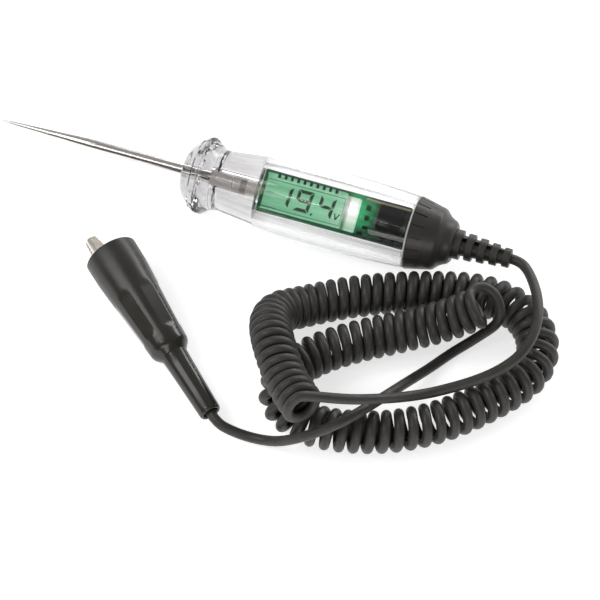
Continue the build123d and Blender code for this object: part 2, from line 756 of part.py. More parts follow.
def jaw_tube(end):
    """Closed-nosed tube that both jaws are cut from: it flares, then runs straight to the end."""
    with BuildPart() as tube:
        with BuildSketch(across(CLIP, JAW_TIP_S)):
            RectangleRounded(NOSE_W - 1.2, NOSE_H - 1.2, 1.0)
        with BuildSketch(across(CLIP, JAW_TIP_S + 0.6)):
            RectangleRounded(NOSE_W, NOSE_H, 1.3)
        with BuildSketch(across(CLIP, FLARE_S)):
            RectangleRounded(JAW_W, JAW_H, 1.4)
        loft(ruled=True)
        with BuildSketch(across(CLIP, JAW_TIP_S + 0.9)):
            RectangleRounded(NOSE_W - 2 * SHEET, NOSE_H - 2 * SHEET, 0.5)
        with BuildSketch(across(CLIP, FLARE_S)):
            RectangleRounded(JAW_W - 2 * SHEET, JAW_H - 2 * SHEET, 0.7)
        loft(ruled=True, mode=Mode.SUBTRACT)
        if end > FLARE_S:
            with BuildSketch(across(CLIP, FLARE_S)):
                RectangleRounded(JAW_W, JAW_H, 1.4)
                RectangleRounded(JAW_W - 2 * SHEET, JAW_H - 2 * SHEET, 0.7, mode=Mode.SUBTRACT)
            extrude(amount=end - FLARE_S)
    return tube.part


REAR_S = 31.0
nose = jaw_tube(REAR_S)
with BuildPart() as clip_lower_jaw:
    add(nose)
    with BuildSketch(CLIP_SIDE):
        Polygon(
            (JAW_TIP_S - 1, -6), (JAW_TIP_S - 1, -0.08), *tooth_line(-0.08, -TOOTH_H), (7.6, -0.1),
            (9.6, 1.9), (14.0, 1.9), (20.0, -1.7), (REAR_S + 1, -2.7), (REAR_S + 1, -6),
            align=None,
        )
    extrude(amount=JAW_W, both=True, mode=Mode.INTERSECT)
    with BuildSketch(CLIP_SIDE):
        Polygon(
            (REAR_S - 0.5, -JAW_H / 2), (CRIMP_S[0] - 1.5, -CORD_R - SHEET), (CRIMP_S[0] + 0.5, -CORD_R - SHEET),
            (CRIMP_S[0] + 0.5, -CORD_R - 0.1), (CRIMP_S[0] - 1.5, -CORD_R - 0.1), (REAR_S - 0.5, -JAW_H / 2 + SHEET),
            align=None,
        )
    extrude(amount=1.5, both=True)
    with BuildSketch(across(BOOT, CRIMP_S[0])):
        Circle(CORD_R + SHEET)
        Circle(CORD_R, mode=Mode.SUBTRACT)
    extrude(amount=CRIMP_S[1] - CRIMP_S[0])
    with BuildSketch(CLIP_SIDE):
        with Locations((PIVOT_S, 0)):
            Circle(PIN_R)
    extrude(amount=JAW_W, both=True, mode=Mode.SUBTRACT)
save(clip_lower_jaw.part, "clip_lower_jaw")

EAR_OUT = JAW_W / 2 + 0.8
LEVER_S = 28.0
LEVER_H = 4.6
nose = jaw_tube(6.0)
with BuildPart() as clip_upper_jaw:
    add(nose)
    with BuildSketch(CLIP_SIDE):
        Polygon(
            (JAW_TIP_S - 1, 6), (JAW_TIP_S - 1, 0.08), *tooth_line(0.08, TOOTH_H), (6, 0.08), (6, 6),
            align=None,
        )
    extrude(amount=JAW_W, both=True, mode=Mode.INTERSECT)
    with BuildSketch(CLIP_SIDE):
        Polygon((4.6, 0.08), (6.0, 0.08), (6.0, JAW_H / 2), (4.6, JAW_H / 2), align=None)
    extrude(amount=EAR_OUT, both=True)
    with BuildSketch(CLIP_SIDE):
        Polygon(
            (5.0, 0.08), (6.9, 0.08), (8.8, -1.6), (12.0, -2.2), (15.4, -1.6), (19.0, 1.6), (LEVER_S, 3.1),
            (LEVER_S, LEVER_H), (13.0, JAW_H / 2), (5.0, JAW_H / 2),
            align=None,
        )
    extrude(amount=EAR_OUT, both=True)
    with BuildSketch(CLIP_SIDE):
        Polygon(
            (6.0, -4), (LEVER_S + 1, -4), (LEVER_S + 1, LEVER_H - SHEET + 0.1), (13.1, JAW_H / 2 - SHEET),
            (6.0, JAW_H / 2 - SHEET),
            align=None,
        )
    extrude(amount=EAR_OUT - SHEET, both=True, mode=Mode.SUBTRACT)
    with BuildSketch(CLIP_SIDE):
        Polygon((4.0, -4), (6.8, -4), (6.8, JAW_H / 2 - SHEET - 0.2), (4.0, JAW_H / 2 - SHEET - 0.2), align=None)
    extrude(amount=JAW_W / 2 - SHEET - 0.2, both=True, mode=Mode.SUBTRACT)
    with BuildSketch(CLIP_SIDE):
        with Locations((PIVOT_S, 0)):
            Circle(PIN_R + 0.08)
    extrude(amount=JAW_W, both=True, mode=Mode.SUBTRACT)
save(clip_upper_jaw.part, "clip_upper_jaw")

with BuildPart() as jaw_pin:
    with BuildSketch(CLIP_SIDE):
        with Locations((PIVOT_S, 0)):
            Circle(PIN_R)
    extrude(amount=EAR_OUT + 0.1, both=True)
    for side in (1, -1):
        with BuildSketch(CLIP_SIDE.offset(side * (EAR_OUT + 0.1))):
            with Locations((PIVOT_S, 0)):
                Circle(1.6)
        extrude(amount=side * 0.5)
save(jaw_pin.part, "jaw_pin")

COIL_WIRE = 0.4
SPRING_R = PIN_R + 0.15 + COIL_WIRE
SPRING_TURNS = 4
SPRING_PITCH = 0.9
spring_w = SPRING_TURNS * SPRING_PITCH
with BuildPart() as jaw_spring:
    helix_at = CLIP_SIDE * Location((PIVOT_S, 0, -spring_w / 2))
    wound = helix_at * Helix(SPRING_PITCH, spring_w, SPRING_R)
    with BuildSketch(Plane(origin=wound @ 0, z_dir=wound % 0)):
        Circle(COIL_WIRE)
    sweep(path=wound, is_frenet=True)
    for at, reach, rise in ((wound @ 0, 11.0, -1.9), (wound @ 1, 11.0, 3.0)):
        start = CLIP_SIDE.to_local_coords(at)
        end = CLIP_SIDE.from_local_coords(Vector(PIVOT_S + reach, rise, start.Z))
        with BuildSketch(Plane(origin=at, z_dir=end - at)):
            Circle(COIL_WIRE)
        extrude(amount=(end - at).length)
save(jaw_spring.part, "jaw_spring")

pieces = sorted(name for name in os.listdir("parts") if name.endswith(".step"))
print(len(pieces), "pieces written")
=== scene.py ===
import json
from math import cos, pi, radians, sin, sqrt

import bmesh
import bpy
from mathutils import Matrix, Vector


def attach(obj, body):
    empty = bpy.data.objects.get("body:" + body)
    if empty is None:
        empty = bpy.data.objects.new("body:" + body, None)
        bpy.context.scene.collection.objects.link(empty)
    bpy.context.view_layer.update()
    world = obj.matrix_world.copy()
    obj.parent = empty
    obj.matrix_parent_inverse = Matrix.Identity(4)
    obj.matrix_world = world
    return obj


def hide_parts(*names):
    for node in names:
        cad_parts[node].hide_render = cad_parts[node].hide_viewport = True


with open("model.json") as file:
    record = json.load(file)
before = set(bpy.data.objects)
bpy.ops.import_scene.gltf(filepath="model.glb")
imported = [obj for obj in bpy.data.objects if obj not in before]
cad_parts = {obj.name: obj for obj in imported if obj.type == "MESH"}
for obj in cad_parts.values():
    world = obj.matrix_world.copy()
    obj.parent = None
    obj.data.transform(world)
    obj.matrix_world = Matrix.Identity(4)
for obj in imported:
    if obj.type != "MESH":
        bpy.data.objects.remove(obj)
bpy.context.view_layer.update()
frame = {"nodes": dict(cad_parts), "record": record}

MM = 0.001
AXIS_Z = 15.6  # height of the handle's axis, mm
scene = bpy.context.scene
nodes = frame["nodes"]

# ------------------------------------------------------------------ camera
CAMERA_AT = Vector((0.22972, -0.63319, 0.97247))
TARGET = Vector((0.03243, -0.03874, 0.008))
LENS = 179.82
SENSOR = 36.0
scene.view_settings.view_transform = "Standard"
camera = bpy.data.objects.new("camera", bpy.data.cameras.new("camera"))
scene.collection.objects.link(camera)
camera.location = CAMERA_AT
camera.rotation_euler = (TARGET - CAMERA_AT).to_track_quat("-Z", "Y").to_euler()
camera.data.lens = LENS
camera.data.sensor_width = SENSOR
camera.data.clip_start = 0.05
scene.camera = camera


# ------------------------------------------------------------------ material helpers
class Look:
    """A node material under construction: helpers add nodes and join them."""

    def __init__(self, name, rough=0.5, metal=0.0, ior=1.5, **sockets):
        self.material = bpy.data.materials.new(name)
        self.material.use_nodes = True
        self.tree = self.material.node_tree
        self.shader = self.tree.nodes["Principled BSDF"]
        self.set(self.shader, "Roughness", rough)
        self.set(self.shader, "Metallic", metal)
        self.set(self.shader, "IOR", ior)
        for key, value in sockets.items():
            self.set(self.shader, key.replace("_", " "), value)

    def set(self, node, socket, value):
        """Links an output to a socket, or sets the socket to a constant."""
        if isinstance(value, bpy.types.NodeSocket):
            self.tree.links.new(value, node.inputs[socket])
        else:
            target = node.inputs[socket]
            is_colour = hasattr(target.default_value, "__len__") and len(target.default_value) == 4
            target.default_value = (*value, 1.0) if is_colour and len(value) == 3 else value

    def node(self, kind, out=0, settings=None, **sockets):
        """A new node's output; a socket is named, or numbered as in i0."""
        made = self.tree.nodes.new(kind)
        for key, value in (settings or {}).items():
            setattr(made, key, value)
        for key, value in sockets.items():
            numbered = key[0] == "i" and key[1:].isdigit()
            self.set(made, int(key[1:]) if numbered else key.replace("_", " "), value)
        return made.outputs[out]

    def place(self):
        return self.node("ShaderNodeTexCoord", "Object")

    def along(self, axis, shift=0.0):
        """Distance along a direction of the model's own space, in metres."""
        operation = {"operation": "DOT_PRODUCT"}
        dot = self.node("ShaderNodeVectorMath", "Value", operation, i0=self.place(), i1=axis)
        return self.sums(dot, shift)

    def from_point(self, point):
        """Distance from a point of the model's own space, in metres."""
        operation = {"operation": "DISTANCE"}
        return self.node("ShaderNodeVectorMath", "Value", operation, i0=self.place(), i1=point)

    def noise(self, scale, detail=2.0, rough=0.5, stretch=None):
        at = self.place()
        if stretch:
            at = self.node("ShaderNodeMapping", Vector=at, Scale=stretch)
        return self.node("ShaderNodeTexNoise", "Fac", Vector=at, Scale=scale, Detail=detail, Roughness=rough)

    def ramp(self, value, *stops):
        made = self.tree.nodes.new("ShaderNodeValToRGB")
        self.tree.links.new(value, made.inputs[0])
        spots = made.color_ramp.elements
        while len(spots) < len(stops):
            spots.new(0.5)
        for spot, (at, colour) in zip(spots, stops):
            spot.position = at
            spot.color = (*colour, 1.0) if hasattr(colour, "__len__") else (colour, colour, colour, 1.0)
        return made.outputs[0]

    def span(self, value, low, high, to_low, to_high):
        return self.node("ShaderNodeMapRange", i0=value, i1=low, i2=high, i3=to_low, i4=to_high)

    def spread(self, scale, detail, reach, low=0.3, high=0.7):
        """Noise around zero, from -reach to reach."""
        return self.span(self.noise(scale, detail), low, high, -reach, reach)

    def sums(self, a, b):
        return self.node("ShaderNodeMath", settings={"operation": "ADD"}, i0=a, i1=b)

    def mix(self, a, b, share=1.0, blend="MIX"):
        """Colour a with colour b over it."""
        settings = {"data_type": "RGBA", "blend_type": blend}
        return self.node("ShaderNodeMix", 2, settings, i0=share, i6=a, i7=b)

    def bump(self, height, strength, distance):
        normal = self.node("ShaderNodeBump", Height=height, Strength=strength, Distance=distance)
        self.set(self.shader, "Normal", normal)


def plastic(name, colour, rough, grain=2600.0, depth=0.00003, vary=0.12, strength=0.35, **sockets):
    """Moulded plastic or rubber: fine grain, a little uneven in gloss and shade."""
    look = Look(name, rough, **sockets)
    broad = look.noise(140.0, 3.0)
    dark = [c * (1 - vary) for c in colour]
    light = [min(1.0, c * (1 + vary)) for c in colour]
    look.set(look.shader, "Base Color", look.ramp(broad, (0.35, dark), (0.65, light)))
    uneven = look.span(look.noise(420.0, 4.0), 0.3, 0.7, rough * 0.85, rough * 1.15)
    look.set(look.shader, "Roughness", uneven)
    look.bump(look.noise(grain, 2.0), strength, depth)
    return look


def metal(name, colour, rough, stretch, vary=0.1, depth=0.00001, **sockets):
    """Metal with fine lines; stretch scales the noise on each axis, so a small value draws lines along it."""
    look = Look(name, rough, metal=1.0, **sockets)
    lines = look.noise(900.0, 4.0, 0.6, stretch)
    dark = [c * (1 - vary) for c in colour]
    look.set(look.shader, "Base Color", look.ramp(look.noise(160.0, 2.0), (0.3, dark), (0.7, colour)))
    look.set(look.shader, "Roughness", look.span(lines, 0.3, 0.7, rough * 0.75, rough * 1.35))
    look.bump(lines, 0.25, depth)
    return look


LOOKS = {
    "needle_steel": metal("needle_steel", (0.80, 0.77, 0.74), 0.20, (0.04, 1, 1)),
    "nickel": metal("nickel", (0.76, 0.70, 0.64), 0.32, (0.3, 1, 1)),
    "tin": metal("tin", (0.13, 0.13, 0.09), 0.42, (1, 1, 1)),
    # a little emission stands in for the direct light that the clear handle keeps off these pieces
    "plated": metal("plated", (0.95, 0.91, 0.87), 0.42, (0.3, 1, 1), Metallic=0.35,
                    Emission_Color=(1.0, 0.96, 0.92), Emission_Strength=0.14),
    "brass": metal("brass", (0.72, 0.52, 0.26), 0.30, (1, 1, 1)),
    "copper": metal("copper", (0.78, 0.42, 0.26), 0.32, (1, 1, 1)),
    "chip_black": plastic("chip_black", (0.010, 0.010, 0.008), 0.55, Specular_IOR_Level=0.2),
    "ceramic_tan": plastic("ceramic_tan", (0.030, 0.040, 0.022), 0.5),
    "jumper_yellow": plastic("jumper_yellow", (0.66, 0.55, 0.36), 0.4),
    "seal_grey": plastic("seal_grey", (0.62, 0.62, 0.60), 0.5),
    "cap_black": plastic("cap_black", (0.040, 0.036, 0.031), 0.40, grain=1800.0, depth=0.00004),
    "relief_black": plastic("relief_black", (0.038, 0.035, 0.030), 0.45, grain=1800.0, depth=0.00004),
    "cord_black": plastic("cord_black", (0.042, 0.039, 0.034), 0.48, grain=1500.0, depth=0.00002),
    "boot_black": plastic("boot_black", (0.030, 0.028, 0.023), 0.24, grain=1200.0, depth=0.000004),
    "clear_plastic": Look("clear_plastic", 0.02, ior=1.46, Transmission_Weight=1.0),
}
clear = LOOKS["clear_plastic"]
# the glass is tinted darker towards the neck and guard than along the barrel, and faint painted streaks of
# reflection and shade run along both
length = clear.span(clear.along((1.0, 0.0, 0.0)), -0.030, 0.012, 0.0, 1.0)
length = clear.sums(length, clear.spread(60.0, 2.0, 0.05))
body_tint = clear.ramp(length, (0.0, (0.54, 0.53, 0.55)), (0.35, (0.64, 0.63, 0.64)),
                       (0.75, (0.70, 0.69, 0.69)), (1.0, (0.93, 0.93, 0.93)))
# these streaks are painted reflections of edges and painted facet shade, not marks in the plastic
lines = clear.noise(700.0, 2.0, stretch=(0.006, 1.0, 1.0))
painted_streaks = clear.ramp(lines, (0.36, 0.82), (0.50, 0.96), (0.64, 1.0))
clear.set(clear.shader, "Base Color", clear.mix(body_tint, painted_streaks, blend="MULTIPLY"))
clear.bump(clear.noise(160.0, 2.0), 0.04, 0.00005)

# the lit parts: the diode, light guide and display give off their own light, uneven across the board; the
# board's own glow is painted light from them
LEAN = radians(30)  # the board leans back by this much
ACROSS = (0.0, cos(LEAN), sin(LEAN))  # direction across the board
DROP = -AXIS_Z * MM * sin(LEAN)  # puts zero of that direction on the handle's axis
FACE = 3.2  # front of the display glass above the handle's axis, square to the board


def on_board(x, y, z=FACE):
    """Board coordinates to the model's, mm."""
    return (x, y * cos(LEAN) - z * sin(LEAN), AXIS_Z + y * sin(LEAN) + z * cos(LEAN))


DIODE = tuple(c * MM for c in on_board(40.4, 2.6, 3.0))


def lit(name, rough, base, glow, strength=1.0):
    """A surface with emission: glow maps a Look to its emission colour, the part's own light for the diode,
    guide and display, painted light for the board.
    """
    look = Look(name, rough)
    dark = [c * 0.92 for c in base]
    look.set(look.shader, "Base Color", look.ramp(look.noise(300.0, 3.0), (0.3, dark), (0.7, base)))
    look.set(look.shader, "Emission Color", glow(look))
    look.set(look.shader, "Emission Strength", strength)
    return look


def board_painted_light(look):
    """Painted light on the board: a pool of the diode's light beside it, fading to black, and a dim green of
    the display's light under the display.
    """
    away = look.span(look.from_point(DIODE), 0.003, 0.0175, 0.0, 1.0)
    ragged = look.sums(away, look.spread(420.0, 4.0, 0.14, 0.25, 0.75))
    beside = look.ramp(ragged, (0.0, (0.05, 0.55, 0.22)), (0.30, (0.020, 0.28, 0.10)),
                       (0.55, (0.005, 0.060, 0.022)), (0.85, (0.0, 0.004, 0.002)))
    under = look.ramp(look.noise(260.0, 3.0), (0.3, (0.004, 0.060, 0.022)), (0.7, (0.008, 0.11, 0.04)))
    share = look.span(look.along((1.0, 0.0, 0.0)), 0.036, 0.040, 0.0, 1.0)
    return look.mix(under, beside, share)


def guide_glow(look):
    """A hot spot at the diode on a soft glow, and a dark rim round the display."""
    away = look.span(look.from_point(DIODE), 0.0012, 0.0075, 0.0, 1.0)
    hot = look.ramp(away, (0.0, (1.0, 0.85, 0.92)), (0.35, (0.45, 0.30, 0.38)), (1.0, 0.0))
    height = look.span(look.along(ACROSS, DROP), -0.0064, 0.0070, 0.0, 1.0)
    soft = look.ramp(look.sums(height, look.spread(260.0, 3.0, 0.08)),
                     (0.0, (0.34, 0.60, 0.40)), (0.3, (0.44, 0.64, 0.48)), (0.6, (0.52, 0.72, 0.58)),
                     (0.85, (0.38, 0.64, 0.45)), (1.0, (0.08, 0.30, 0.15)))
    rim = look.ramp(look.noise(300.0, 3.0), (0.3, (0.004, 0.055, 0.016)), (0.7, (0.016, 0.17, 0.06)))
    share = look.span(look.along((1.0, 0.0, 0.0)), 0.0386, 0.0396, 0.0, 1.0)
    return look.mix(look.mix(rim, soft, share), hot, blend="ADD")


def glass_glow(look):
    """Green along the display, paler at the end beside the diode."""
    length = look.span(look.along((1.0, 0.0, 0.0)), 0.006, 0.0382, 0.0, 1.0)
    return look.ramp(length, (0.0, (0.19, 0.50, 0.29)), (0.8, (0.21, 0.53, 0.31)), (1.0, (0.36, 0.63, 0.45)))


def speckle(scale, detail, low, high, reach=0.2):
    """A glow that wanders between two colours; reach is how far the steps stand from the middle."""
    return lambda look: look.ramp(look.noise(scale, detail), (0.5 - reach, low), (0.5 + reach, high))


# the board is no lamp: its emission is painted light from the diode and the display
LOOKS["board"] = lit("board", 0.4, (0.006, 0.020, 0.010), board_painted_light)
LOOKS["light_guide"] = lit("light_guide", 0.3, (0.30, 0.34, 0.31), guide_glow)
LOOKS["lcd_glass"] = lit("lcd_glass", 0.12, (0.10, 0.20, 0.14), glass_glow)
LOOKS["led"] = lit("led", 0.3, (0.9, 0.95, 0.92), speckle(200.0, 2.0, 0.95, 1.0), 2.5)
ledge = lit("lcd_ledge", 0.12, (0.12, 0.24, 0.16),
            speckle(500.0, 3.0, (0.16, 0.42, 0.24), (0.28, 0.56, 0.38), 0.15))
ink = lit("display_ink", 0.3, (0.012, 0.030, 0.016),
          speckle(400.0, 2.0, (0.002, 0.020, 0.007), (0.003, 0.030, 0.010)))
line_ink = lit("display_line", 0.3, (0.02, 0.06, 0.035),
               speckle(400.0, 2.0, (0.004, 0.045, 0.018), (0.006, 0.065, 0.028)))
pin_metal = metal("pin_metal", (0.03, 0.09, 0.045), 0.45, (1, 1, 1))


def dress(piece, slot, look=None):
    """Gives a piece one material: the look given, or else the one for the slot."""
    piece.data.materials.clear()
    piece.data.materials.append((look or LOOKS[slot]).material)


OWN_LOOKS = {
    "lcd_rear_glass": ledge,
    "lcd_pins": pin_metal,
    "probe_ferrule": LOOKS["plated"],
    "contact_collar": LOOKS["plated"],
    "contact_sleeve": LOOKS["plated"],
}
for part in frame["record"]["subparts"]:
    look = OWN_LOOKS.get(part["node"], LOOKS[part["material_slot"]])
    for spot in nodes[part["node"]].material_slots:
        spot.material = look.material


# ------------------------------------------------------------------ mesh helpers
def mesh_piece(name, points, faces, slot, look=None, sharp=35.0):
    """A closed mesh of the tester's body from points in mm, creased at edges over sharp degrees."""
    mesh = bpy.data.meshes.new(name)
    mesh.from_pydata([tuple(c * MM for c in p) for p in points], [], faces)
    made = bpy.data.objects.new(name, mesh)
    scene.collection.objects.link(made)
    clean = bmesh.new()
    clean.from_mesh(mesh)
    bmesh.ops.recalc_face_normals(clean, faces=clean.faces)
    clean.to_mesh(mesh)
    clean.free()
    mesh.polygons.foreach_set("use_smooth", [True] * len(mesh.polygons))
    mesh.set_sharp_from_angle(angle=radians(sharp))
    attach(made, "tester")
    dress(made, slot, look)
    return made


def smooth_run(knots, first, last, steps=7):
    """Points on a smooth curve through the knots, with the slopes given at both ends."""
    slopes = [first]
    for i in range(1, len(knots) - 1):
        slopes.append((knots[i + 1][1] - knots[i - 1][1]) / (knots[i + 1][0] - knots[i - 1][0]))
    slopes.append(last)
    run = []
    for (xa, ra), (xb, rb), sa, sb in zip(knots, knots[1:], slopes, slopes[1:]):
        wide = xb - xa
        for k in range(steps):
            t = k / steps
            run.append((
                xa + wide * t,
                (2 * t**3 - 3 * t**2 + 1) * ra + (t**3 - 2 * t**2 + t) * sa * wide
                + (3 * t**2 - 2 * t**3) * rb + (t**3 - t**2) * sb * wide,
            ))
    return run + [knots[-1]]


def off_flat(turn, first, count):
    """Angle from the middle of the nearest of count flats, the first of them at first."""
    return (turn - first + pi / count) % (2 * pi / count) - pi / count


def ring_faces(rings, steps):
    """Quads between rings of points, with the last ring joined to the first."""
    made = []
    for i in range(rings):
        j = (i + 1) % rings
        for k in range(steps):
            m = (k + 1) % steps
            made.append((i * steps + k, i * steps + m, j * steps + m, j * steps + k))
    return made


# ------------------------------------------------------------------ clear handle
NEEDLE_IN = 1.87  # the moulding grips the steel, so there is no air between them
GUARD_X = -28.1  # front of the guard
GUARD_END = -14.0  # behind this the handle is round
FLATS = 12
FLAT_REACH = 15.15  # from the axis to each flat of the guard
BOTTOM = -pi / 2  # one flat faces the surface that the tool lies on
BARREL_R = 15.6
BARREL_END = 65.0
CAVITY_R = 11.3
CAVITY_X = 3.9  # the barrel's cavity starts here
NOSE_R = 3.4  # bore of the neck, round the collar and sleeve
NOSE_X = -18.3
SPIGOT_X, SPIGOT_END = 64.1, 71.6
SPIGOT_R = (11.6, 10.4)  # outside and inside
HANDLE_STEPS = 144

guard = [(0, 3.2), (0.05, 5.0), (0.4, 7.2), (1.1, 8.9), (2.0, 10.3), (3.2, 11.5), (4.3, 12.6), (5.4, 13.7),
         (5.7, 13.45), (6.1, 14.1), (8.1, 15.4), (8.4, 15.4), (8.6, 15.05), (8.9, 15.75), (10.1, 15.75),
         (10.7, 15.0), (12.9, 13.2)]
neck = [(-15.0, 13.05), (-13.4, 12.2), (-11.0, 12.15), (-5.8, 12.7), (3.5, 13.85), (12.9, 14.9),
        (28.0, BARREL_R)]
barrel = [(28.6, BARREL_R), (48.4, 15.2), (57.8, 14.75), (BARREL_END, 14.3)]
spigot = [(BARREL_END, SPIGOT_R[0]), (SPIGOT_END, SPIGOT_R[0]), (SPIGOT_END, SPIGOT_R[1]),
          (SPIGOT_X, SPIGOT_R[1])]
bore = [(SPIGOT_X, CAVITY_R), (30.0, CAVITY_R), (CAVITY_X, CAVITY_R), (CAVITY_X, NOSE_R), (-10.0, NOSE_R),
        (NOSE_X, NOSE_R), (NOSE_X, NEEDLE_IN), (GUARD_X, NEEDLE_IN)]
profile = [(GUARD_X + x, r) for x, r in guard]
profile += smooth_run(neck, -0.75, 0.0) + smooth_run(barrel, 0.0, -0.08)
profile += spigot + bore
points = []
for x, r in profile:
    for k in range(HANDLE_STEPS):
        turn = 2 * pi * k / HANDLE_STEPS
        reach = min(r, FLAT_REACH / cos(off_flat(turn, BOTTOM, FLATS))) if x < GUARD_END else r
        points.append((x, reach * cos(turn), AXIS_Z + reach * sin(turn)))
faces = ring_faces(len(profile), HANDLE_STEPS)
handle = mesh_piece("handle_clear", points, faces, "clear_plastic", sharp=28.0)
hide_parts("handle_body")

# ------------------------------------------------------------------ boot of the clip
RIM = Vector((-42.85, -43.8, 11.2))
HEADING, PITCH_DOWN = radians(-41.45), radians(4.0)
aim = Vector((cos(HEADING) * cos(PITCH_DOWN), sin(HEADING) * cos(PITCH_DOWN), -sin(PITCH_DOWN)))
crest = aim.cross(Vector((0, 0, 1))).cross(aim).normalized()
flank = crest.cross(aim)
PANELS = 6
PANEL_TURN = radians(19.6)
PANEL_S = (20.5, 42.0)  # the pressed panels lie between these places along the boot
PANEL_DEPTH = 0.45
PANEL_RAMP = (1.6, 0.9)  # length over which they sink in at either end
CONE_S, CONE_R = 9.7, 10.45
CONE_STEP, CONE_FALL = 1.15, 0.0795
CONE_RINGS = 31
BOOT_STEPS = 168

# profile as places along the boot and radii: out over the rim, down the cone to the tail, back inside
lip = [(0.9, 9.35), (0.3, 9.5), (0.0, 9.8), (0.0, 10.3), (0.25, 10.55), (0.7, 10.6), (4.0, 10.55)]
cone = [(CONE_S + k * CONE_STEP, CONE_R - k * CONE_FALL) for k in range(CONE_RINGS + 1)]
shoulder = smooth_run([(46.4, 7.92), (48.0, 7.35), (49.5, 6.15), (51.2, 5.12)], -0.10, -0.10, 5)
tail = [(56.0, 4.95), (62.0, 4.75), (70.0, 4.5), (77.4, 4.3), (78.3, 4.2), (78.8, 3.95), (79.0, 3.6)]
inner = [(78.9, 3.25), (78.5, 2.95), (77.5, 2.75), (72.0, 2.7), (62.0, 2.7), (58.0, 2.1), (52.0, 2.1),
         (49.0, 3.4), (46.4, 6.1), (30.0, 7.25), (12.0, 8.5)]
skin = lip + cone + shoulder + tail + inner
points = []
for number, (s, r) in enumerate(skin):
    sunk = min(1.0, max(0.0, (s - PANEL_S[0]) / PANEL_RAMP[0]))
    sunk *= min(1.0, max(0.0, (PANEL_S[1] - s) / PANEL_RAMP[1]))
    on_cone = number < len(lip) + len(cone)
    for k in range(BOOT_STEPS):
        turn = 2 * pi * k / BOOT_STEPS
        off = off_flat(turn, PANEL_TURN, PANELS)
        reach = min(r, (r - PANEL_DEPTH * sunk) / cos(off)) if sunk and on_cone else r
        points.append(tuple(RIM + aim * s + (crest * cos(turn) + flank * sin(turn)) * reach))
faces = ring_faces(len(skin), BOOT_STEPS)
boot = mesh_piece("boot_skin", points, faces, "boot_black", sharp=50.0)
# the vinyl is hazy round the rim and glossier towards the tail
vinyl = LOOKS["boot_black"]
back = vinyl.span(vinyl.along(tuple(aim), -aim.dot(RIM) * MM), 0.004, 0.034, 0.0, 1.0)
haze = vinyl.sums(back, vinyl.spread(180.0, 3.0, 0.10))
vinyl.set(vinyl.shader, "Roughness", vinyl.span(haze, 0.0, 1.0, 0.40, 0.20))
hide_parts("clip_boot")

# ------------------------------------------------------------------ display
SINK = 0.02  # how deep the plates reach into the glass


def plates(name, outlines, slot, look, thick=0.06):
    """Thin flat plates with the given outlines, lying on the display."""
    spots, sides = [], []
    for outline in outlines:
        base = len(spots)
        n = len(outline)
        spots += [on_board(x, y, FACE - SINK) for x, y in outline]
        spots += [on_board(x, y, FACE + thick) for x, y in outline]
        sides.append([base + k for k in range(n)])
        sides.append([base + n + k for k in range(n)])
        for k in range(n):
            m = (k + 1) % n
            sides.append((base + k, base + m, base + n + m, base + n + k))
    return mesh_piece(name, spots, sides, slot, look, sharp=20.0)


# a digit's seven segments, x from its left edge and y from its middle
DIGIT_W, HALF = 6.15, 4.15  # width, and half of the height
THICK, GAP = 1.3, 0.16  # of a segment, and of the breaks between them
INNER = DIGIT_W - THICK
POINT = THICK * 0.55  # how far the middle segments' points stand from the edge
UPPER = [(DIGIT_W, HALF - GAP), (DIGIT_W, GAP), (DIGIT_W - THICK * 0.4, GAP), (INNER, POINT + GAP),
         (INNER, HALF - THICK - GAP)]
TOP = [(GAP, HALF), (DIGIT_W - GAP, HALF), (INNER - GAP, HALF - THICK), (THICK + GAP, HALF - THICK)]
MIDDLE = [(POINT, 0), (THICK + GAP, THICK / 2), (INNER - GAP, THICK / 2), (DIGIT_W - POINT, 0),
          (INNER - GAP, -THICK / 2), (THICK + GAP, -THICK / 2)]
SEGMENTS = {
    "a": TOP,
    "b": UPPER,
    "c": [(x, -y) for x, y in UPPER],
    "d": [(x, -y) for x, y in TOP],
    "e": [(DIGIT_W - x, -y) for x, y in UPPER],
    "f": [(DIGIT_W - x, y) for x, y in UPPER],
    "g": MIDDLE,
}
SLANT = 0.09
DIGIT_Y = 0.15


def digit(x, lit_ones):
    """Outlines of one digit's lit segments, with its left edge at x."""
    return [[(x + px + SLANT * py, py + DIGIT_Y) for px, py in SEGMENTS[name]] for name in lit_ones]


def bar(x0, y0, x1, y1, wide):
    """Outline of a straight stroke between two points."""
    dx, dy = x1 - x0, y1 - y0
    size = sqrt(dx * dx + dy * dy)
    ox, oy = -dy / size * wide / 2, dx / size * wide / 2
    return [(x0 + ox, y0 + oy), (x1 + ox, y1 + oy), (x1 - ox, y1 - oy), (x0 - ox, y0 - oy)]


point_mark = [(25.5, -4.3), (26.3, -4.3), (26.4, -3.5), (25.6, -3.5)]
minus_mark = bar(7.3, 0.2, 9.8, 0.2, 0.55)
unit_mark = [bar(34.75, -1.2, 35.5, -3.5, 0.5), bar(35.4, -3.5, 36.7, -1.1, 0.5)]
marks = digit(10.75, "bc") + digit(18.85, "abcdfg") + digit(27.75, "bcfg")
marks += [point_mark, minus_mark] + unit_mark
plates("display_digits", marks, "lcd_glass", ink)
frame_lines = [
    bar(6.5, 5.25, 37.6, 5.25, 0.22),
    bar(37.5, 5.3, 37.5, -5.2, 0.16),
    bar(6.2, -5.35, 12.2, -5.35, 0.35),
    bar(12.0, -5.5, 37.5, -5.3, 0.18),
    bar(5.9, -6.1, 5.9, 6.6, 0.75),
]
plates("display_lines", frame_lines, "lcd_glass", line_ink, thick=0.05)

